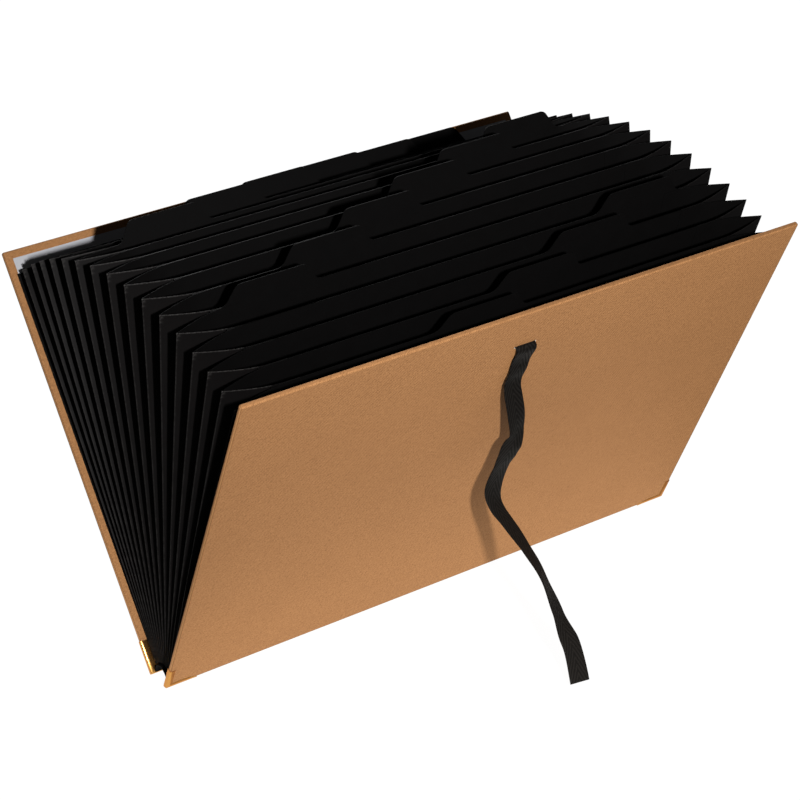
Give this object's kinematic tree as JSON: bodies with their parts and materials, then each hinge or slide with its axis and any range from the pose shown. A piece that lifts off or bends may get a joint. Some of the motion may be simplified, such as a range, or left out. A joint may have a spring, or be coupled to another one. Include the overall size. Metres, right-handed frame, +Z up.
{
  "type": "accordion file folder",
  "caption": "Expanding document folder with cloth-covered boards, a fan of tabbed card dividers joined by folded side walls, brass bottom corners and a ribbon tie.",
  "frame": {"origin": "on the surface that the folder stands on, under the middle of the opened fan", "axes": "+X along the folder, +Y from the front cover to the back cover, +Z up"},
  "size_m": [0.3306, 0.2759, 0.2389],
  "materials": {
    "cover_cloth": "bookcloth",
    "board": "raw",
    "endpaper": "matte",
    "card": "matte",
    "gusset_card": "matte",
    "spine_cloth": "matte",
    "ribbon": "twill",
    "brass": "polished"
  },
  "bodies": {
    "back_cover": {"back_board": "board", "back_wrap": "cover_cloth", "back_endpaper": "endpaper", "back_left_corner": "brass", "back_right_corner": "brass", "divider_16": "card", "gusset_16": "gusset_card", "spine_cloth": "spine_cloth"},
    "sheet_15": {"divider_15": "card", "gusset_15": "gusset_card"},
    "sheet_14": {"divider_14": "card", "gusset_14": "gusset_card"},
    "sheet_13": {"divider_13": "card", "gusset_13": "gusset_card"},
    "sheet_12": {"divider_12": "card", "gusset_12": "gusset_card"},
    "sheet_11": {"divider_11": "card", "gusset_11": "gusset_card"},
    "sheet_10": {"divider_10": "card", "gusset_10": "gusset_card"},
    "sheet_09": {"divider_09": "card", "gusset_09": "gusset_card"},
    "sheet_08": {"divider_08": "card", "gusset_08": "gusset_card"},
    "sheet_07": {"divider_07": "card", "gusset_07": "gusset_card"},
    "sheet_06": {"divider_06": "card", "gusset_06": "gusset_card"},
    "sheet_05": {"divider_05": "card", "gusset_05": "gusset_card"},
    "sheet_04": {"divider_04": "card", "gusset_04": "gusset_card"},
    "sheet_03": {"divider_03": "card", "gusset_03": "gusset_card"},
    "sheet_02": {"divider_02": "card", "gusset_02": "gusset_card"},
    "sheet_01": {"divider_01": "card", "gusset_01": "gusset_card"},
    "front_sheet": {"front_panel": "card"},
    "front_cover": {"front_board": "board", "front_wrap": "cover_cloth", "front_endpaper": "endpaper", "front_left_corner": "brass", "front_right_corner": "brass", "ribbon_anchor": "ribbon", "tie_ribbon": "ribbon"}
  },
  "joints": [
    {"name": "front_cover_hinge", "type": "hinge", "parent": "back_cover", "child": "front_cover", "pos_m": [0, 0, 0.00166], "axis": [1, 0, 0], "range_deg": [-60.92, 29.08], "deforming": ["spine_cloth"]},
    {"name": "pocket_16_fold", "type": "hinge", "parent": "back_cover", "child": "sheet_15", "pos_m": [0, 0, 0.00166], "axis": [1, 0, 0], "range_deg": [-4.32, 2.07], "deforming": ["gusset_16"]},
    {"name": "pocket_15_fold", "type": "hinge", "parent": "sheet_15", "child": "sheet_14", "pos_m": [0, 0, 0.00166], "axis": [1, 0, 0], "range_deg": [-2.87, 1.38], "deforming": ["gusset_15"]},
    {"name": "pocket_14_fold", "type": "hinge", "parent": "sheet_14", "child": "sheet_13", "pos_m": [0, 0, 0.00166], "axis": [1, 0, 0], "range_deg": [-3.32, 1.59], "deforming": ["gusset_14"]},
    {"name": "pocket_13_fold", "type": "hinge", "parent": "sheet_13", "child": "sheet_12", "pos_m": [0, 0, 0.00166], "axis": [1, 0, 0], "range_deg": [-3.72, 1.79], "deforming": ["gusset_13"]},
    {"name": "pocket_12_fold", "type": "hinge", "parent": "sheet_12", "child": "sheet_11", "pos_m": [0, 0, 0.00166], "axis": [1, 0, 0], "range_deg": [-4.06, 1.95], "deforming": ["gusset_12"]},
    {"name": "pocket_11_fold", "type": "hinge", "parent": "sheet_11", "child": "sheet_10", "pos_m": [0, 0, 0.00166], "axis": [1, 0, 0], "range_deg": [-4.31, 2.07], "deforming": ["gusset_11"]},
    {"name": "pocket_10_fold", "type": "hinge", "parent": "sheet_10", "child": "sheet_09", "pos_m": [0, 0, 0.00166], "axis": [1, 0, 0], "range_deg": [-4.46, 2.14], "deforming": ["gusset_10"]},
    {"name": "pocket_09_fold", "type": "hinge", "parent": "sheet_09", "child": "sheet_08", "pos_m": [0, 0, 0.00166], "axis": [1, 0, 0], "range_deg": [-4.52, 2.17], "deforming": ["gusset_09"]},
    {"name": "pocket_08_fold", "type": "hinge", "parent": "sheet_08", "child": "sheet_07", "pos_m": [0, 0, 0.00166], "axis": [1, 0, 0], "range_deg": [-4.49, 2.15], "deforming": ["gusset_08"]},
    {"name": "pocket_07_fold", "type": "hinge", "parent": "sheet_07", "child": "sheet_06", "pos_m": [0, 0, 0.00166], "axis": [1, 0, 0], "range_deg": [-4.37, 2.09], "deforming": ["gusset_07"]},
    {"name": "pocket_06_fold", "type": "hinge", "parent": "sheet_06", "child": "sheet_05", "pos_m": [0, 0, 0.00166], "axis": [1, 0, 0], "range_deg": [-4.17, 2], "deforming": ["gusset_06"]},
    {"name": "pocket_05_fold", "type": "hinge", "parent": "sheet_05", "child": "sheet_04", "pos_m": [0, 0, 0.00166], "axis": [1, 0, 0], "range_deg": [-3.92, 1.88], "deforming": ["gusset_05"]},
    {"name": "pocket_04_fold", "type": "hinge", "parent": "sheet_04", "child": "sheet_03", "pos_m": [0, 0, 0.00166], "axis": [1, 0, 0], "range_deg": [-3.63, 1.74], "deforming": ["gusset_04"]},
    {"name": "pocket_03_fold", "type": "hinge", "parent": "sheet_03", "child": "sheet_02", "pos_m": [0, 0, 0.00166], "axis": [1, 0, 0], "range_deg": [-3.32, 1.6], "deforming": ["gusset_03"]},
    {"name": "pocket_02_fold", "type": "hinge", "parent": "sheet_02", "child": "sheet_01", "pos_m": [0, 0, 0.00166], "axis": [1, 0, 0], "range_deg": [-3.02, 1.45], "deforming": ["gusset_02"]},
    {"name": "pocket_01_fold", "type": "hinge", "parent": "sheet_01", "child": "front_sheet", "pos_m": [0, 0, 0.00166], "axis": [1, 0, 0], "range_deg": [-2.74, 1.32], "deforming": ["gusset_01"]}
  ],
  "couplings": [
    {"joint": "pocket_16_fold", "follows": "front_cover_hinge", "ratio": 0.070584},
    {"joint": "pocket_15_fold", "follows": "front_cover_hinge", "ratio": 0.046802},
    {"joint": "pocket_14_fold", "follows": "front_cover_hinge", "ratio": 0.054162},
    {"joint": "pocket_13_fold", "follows": "front_cover_hinge", "ratio": 0.060761},
    {"joint": "pocket_12_fold", "follows": "front_cover_hinge", "ratio": 0.066244},
    {"joint": "pocket_11_fold", "follows": "front_cover_hinge", "ratio": 0.070349},
    {"joint": "pocket_10_fold", "follows": "front_cover_hinge", "ratio": 0.072917},
    {"joint": "pocket_09_fold", "follows": "front_cover_hinge", "ratio": 0.073894},
    {"joint": "pocket_08_fold", "follows": "front_cover_hinge", "ratio": 0.073327},
    {"joint": "pocket_07_fold", "follows": "front_cover_hinge", "ratio": 0.071349},
    {"joint": "pocket_06_fold", "follows": "front_cover_hinge", "ratio": 0.068169},
    {"joint": "pocket_05_fold", "follows": "front_cover_hinge", "ratio": 0.064051},
    {"joint": "pocket_04_fold", "follows": "front_cover_hinge", "ratio": 0.059296},
    {"joint": "pocket_03_fold", "follows": "front_cover_hinge", "ratio": 0.054229},
    {"joint": "pocket_02_fold", "follows": "front_cover_hinge", "ratio": 0.049201},
    {"joint": "pocket_01_fold", "follows": "front_cover_hinge", "ratio": 0.044665}
  ]
}
